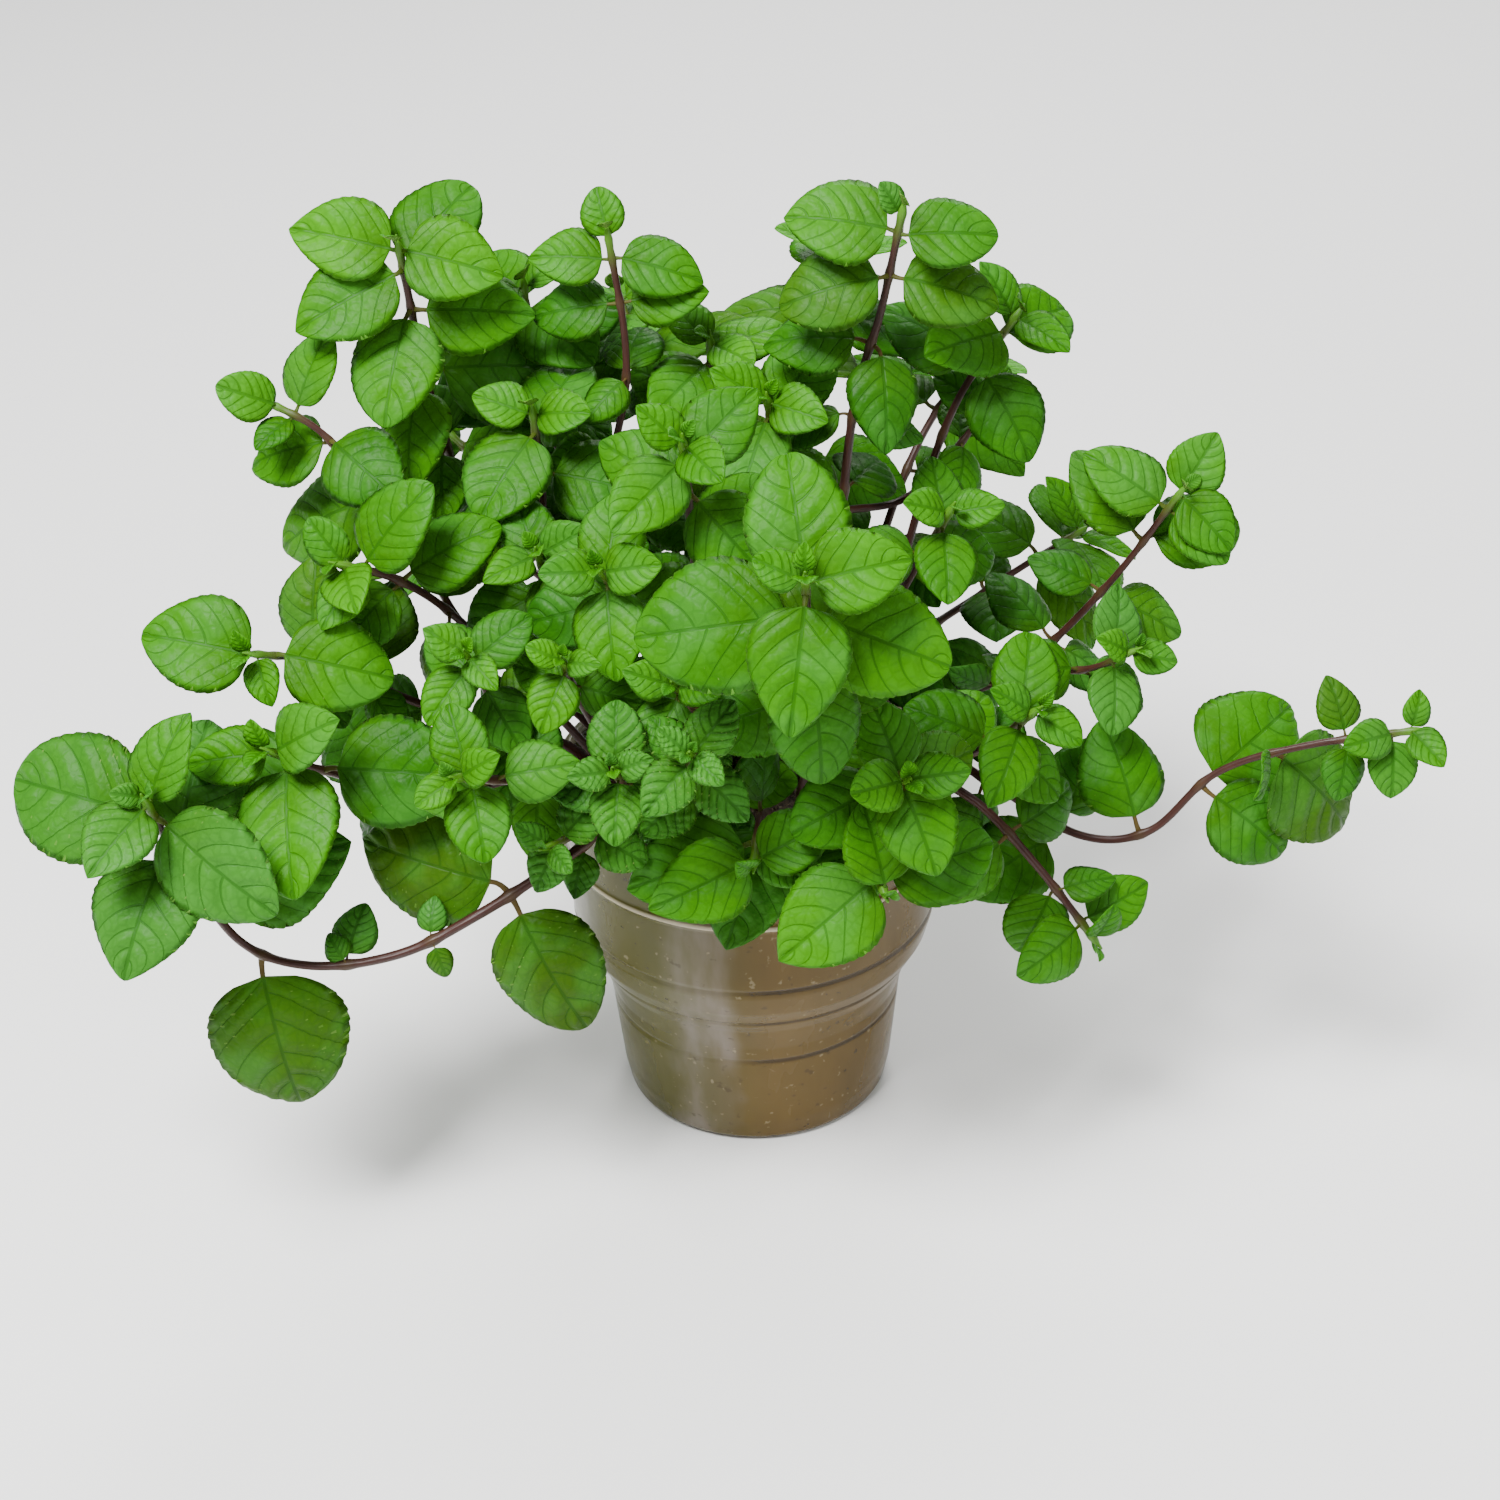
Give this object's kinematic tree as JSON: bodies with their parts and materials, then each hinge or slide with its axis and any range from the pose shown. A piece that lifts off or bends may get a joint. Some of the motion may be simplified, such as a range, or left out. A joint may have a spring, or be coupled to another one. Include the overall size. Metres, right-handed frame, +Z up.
{
  "type": "potted peppermint",
  "caption": "Leafy peppermint in a smoky clear plastic tub of soil, with crossed pairs of round toothed leaves on square stems that lean out over the rim and trail to both sides.",
  "frame": {"origin": "middle of the tub's flat underside, on the surface that it stands on", "axes": "+Z up along the tub's axis, -Y towards the side that the foliage leans and faces to, +X to the right seen from there, along the foliage's greatest spread"},
  "size_m": [0.3311, 0.2329, 0.2484],
  "materials": {
    "smoky_clear_plastic": "clear, smoky and glossy",
    "potting_soil": "matte, crumbly and moist",
    "mint_green": "soft sheen, quilted between the veins"
  },
  "bodies": {
    "root": {"pot": "smoky_clear_plastic", "soil": "potting_soil", "stem_back_01": "mint_green", "stem_back_02": "mint_green", "stem_back_03": "mint_green", "stem_back_04": "mint_green", "stem_back_05": "mint_green", "stem_back_06": "mint_green", "stem_back_07": "mint_green", "stem_back_08": "mint_green", "stem_back_09": "mint_green", "stem_centre_back": "mint_green", "stem_crinkled": "mint_green", "stem_crinkled_left": "mint_green", "stem_far_right": "mint_green", "stem_front": "mint_green", "stem_front_left": "mint_green", "stem_front_low": "mint_green", "stem_front_middle": "mint_green", "stem_left": "mint_green", "stem_left_back": "mint_green", "stem_left_inner": "mint_green", "stem_left_low": "mint_green", "stem_left_mid": "mint_green", "stem_left_top": "mint_green", "stem_left_upper": "mint_green", "stem_middle": "mint_green", "stem_over_rim": "mint_green", "stem_right": "mint_green", "stem_right_front": "mint_green", "stem_right_inner": "mint_green", "stem_right_low": "mint_green", "stem_right_near": "mint_green", "stem_right_top": "mint_green", "stem_top_middle": "mint_green", "stem_top_pale": "mint_green", "stem_trailing": "mint_green", "stem_upper_mid": "mint_green"}
  },
  "joints": []
}
